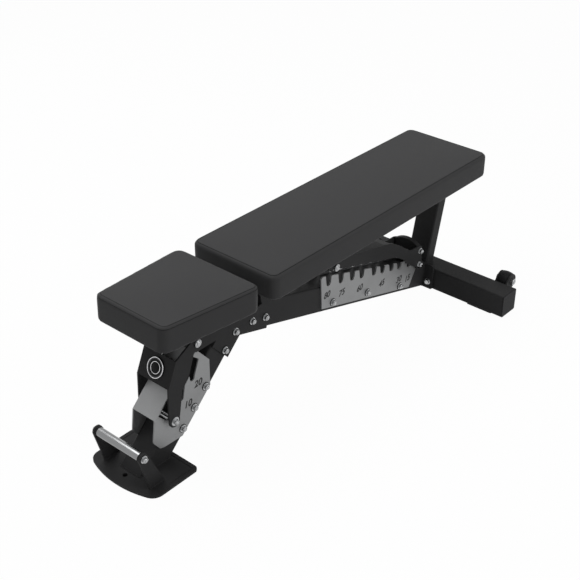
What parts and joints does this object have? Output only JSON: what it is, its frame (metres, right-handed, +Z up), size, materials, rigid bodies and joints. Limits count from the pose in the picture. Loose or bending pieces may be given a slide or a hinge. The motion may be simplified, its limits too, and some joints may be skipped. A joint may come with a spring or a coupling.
{
  "type": "adjustable weight bench",
  "caption": "Adjustable flat and incline weight bench with separate seat and back pads, toothed ladders, hooked props, front handle and rear wheels.",
  "frame": {"origin": "on the floor under the middle of the bench, on its symmetry plane", "axes": "+X runs from the foot plate towards the head end and wheels, +Y to the right of someone sitting on the bench and facing the foot plate, +Z up"},
  "size_m": [1.446, 0.668, 0.4808],
  "materials": {
    "vinyl": "satin, lightly grained",
    "plywood": "black stained",
    "silver_steel": "satin silver powder coat",
    "zinc": "bright zinc",
    "bright_trim": "polished",
    "chrome": "polished",
    "rubber": "matt",
    "black_plastic": "fine texture",
    "black_steel": "semi-matt black powder coat"
  },
  "bodies": {
    "frame": {"back_ladder_bolts": "zinc", "back_ladder_left": "silver_steel", "back_ladder_right": "silver_steel", "corner_cap": "black_steel", "foot_rubber_sheet": "rubber", "front_foot_plate": "black_steel", "front_post": "black_steel", "handle_bar": "chrome", "handle_bolts": "zinc", "handle_caps": "black_plastic", "handle_stay_left": "black_steel", "handle_stay_right": "black_steel", "hinge_ear_bolts": "zinc", "hinge_ear_left": "black_steel", "hinge_ear_right": "black_steel", "hinge_pin": "zinc", "main_beam": "black_steel", "rear_cross_tube": "black_steel", "rear_end_cap_left": "black_plastic", "rear_end_cap_right": "black_plastic", "rear_feet": "rubber", "rear_flange": "black_steel", "rear_flange_bolts": "zinc", "rear_upright": "black_steel", "seat_ladder": "silver_steel", "seat_ladder_bolts": "zinc", "upright_rest": "rubber", "wheel_axles": "zinc", "wheel_fork_left": "black_steel", "wheel_fork_right": "black_steel"},
    "seat": {"seat_board": "plywood", "seat_cheek_left": "black_steel", "seat_cheek_right": "black_steel", "seat_deck": "black_steel", "seat_pad": "vinyl", "seat_prop_axle": "zinc", "seat_screws": "zinc"},
    "seat_prop": {"seat_prop_left": "black_steel", "seat_prop_pin": "zinc", "seat_prop_plug": "black_plastic", "seat_prop_right": "black_steel", "seat_prop_ring": "bright_trim", "seat_prop_web": "black_steel"},
    "back": {"back_board": "plywood", "back_cross_plates": "black_steel", "back_knuckle": "black_steel", "back_lug_left": "black_steel", "back_lug_right": "black_steel", "back_pad": "vinyl", "back_prop_axle": "zinc", "back_screws": "zinc", "back_spine": "black_steel"},
    "back_prop": {"back_prop_bridge": "black_steel", "back_prop_bridge_bolts": "zinc", "back_prop_left": "black_steel", "back_prop_pin": "zinc", "back_prop_right": "black_steel", "back_prop_web": "black_steel"},
    "wheel_left": {"wheel_left": "black_plastic"},
    "wheel_right": {"wheel_right": "black_plastic"}
  },
  "joints": [
    {"name": "seat_tilt", "type": "hinge", "parent": "frame", "child": "seat", "pos_m": [-0.218, 0, 0.386], "axis": [0, 1, 0], "range_deg": [0, 20]},
    {"name": "seat_prop_swing", "type": "hinge", "parent": "seat", "child": "seat_prop", "pos_m": [-0.465, 0, 0.331], "axis": [0, -1, 0], "range_deg": [0, 28]},
    {"name": "back_tilt", "type": "hinge", "parent": "frame", "child": "back", "pos_m": [-0.218, 0, 0.386], "axis": [0, -1, 0], "range_deg": [0, 80]},
    {"name": "back_prop_swing", "type": "hinge", "parent": "back", "child": "back_prop", "pos_m": [0.103, 0, 0.296], "axis": [0, -1, 0], "range_deg": [-120, 0]},
    {"name": "wheel_left_spin", "type": "hinge", "parent": "frame", "child": "wheel_left", "pos_m": [0.695, -0.275, 0.076], "axis": [0, 1, 0], "continuous": true},
    {"name": "wheel_right_spin", "type": "hinge", "parent": "frame", "child": "wheel_right", "pos_m": [0.695, 0.275, 0.076], "axis": [0, 1, 0], "continuous": true}
  ],
  "couplings": [
    {"joint": "seat_prop_swing", "follows": "seat_tilt", "ratio": 1.38},
    {"joint": "back_prop_swing", "follows": "back_tilt", "ratio": -1.49}
  ]
}
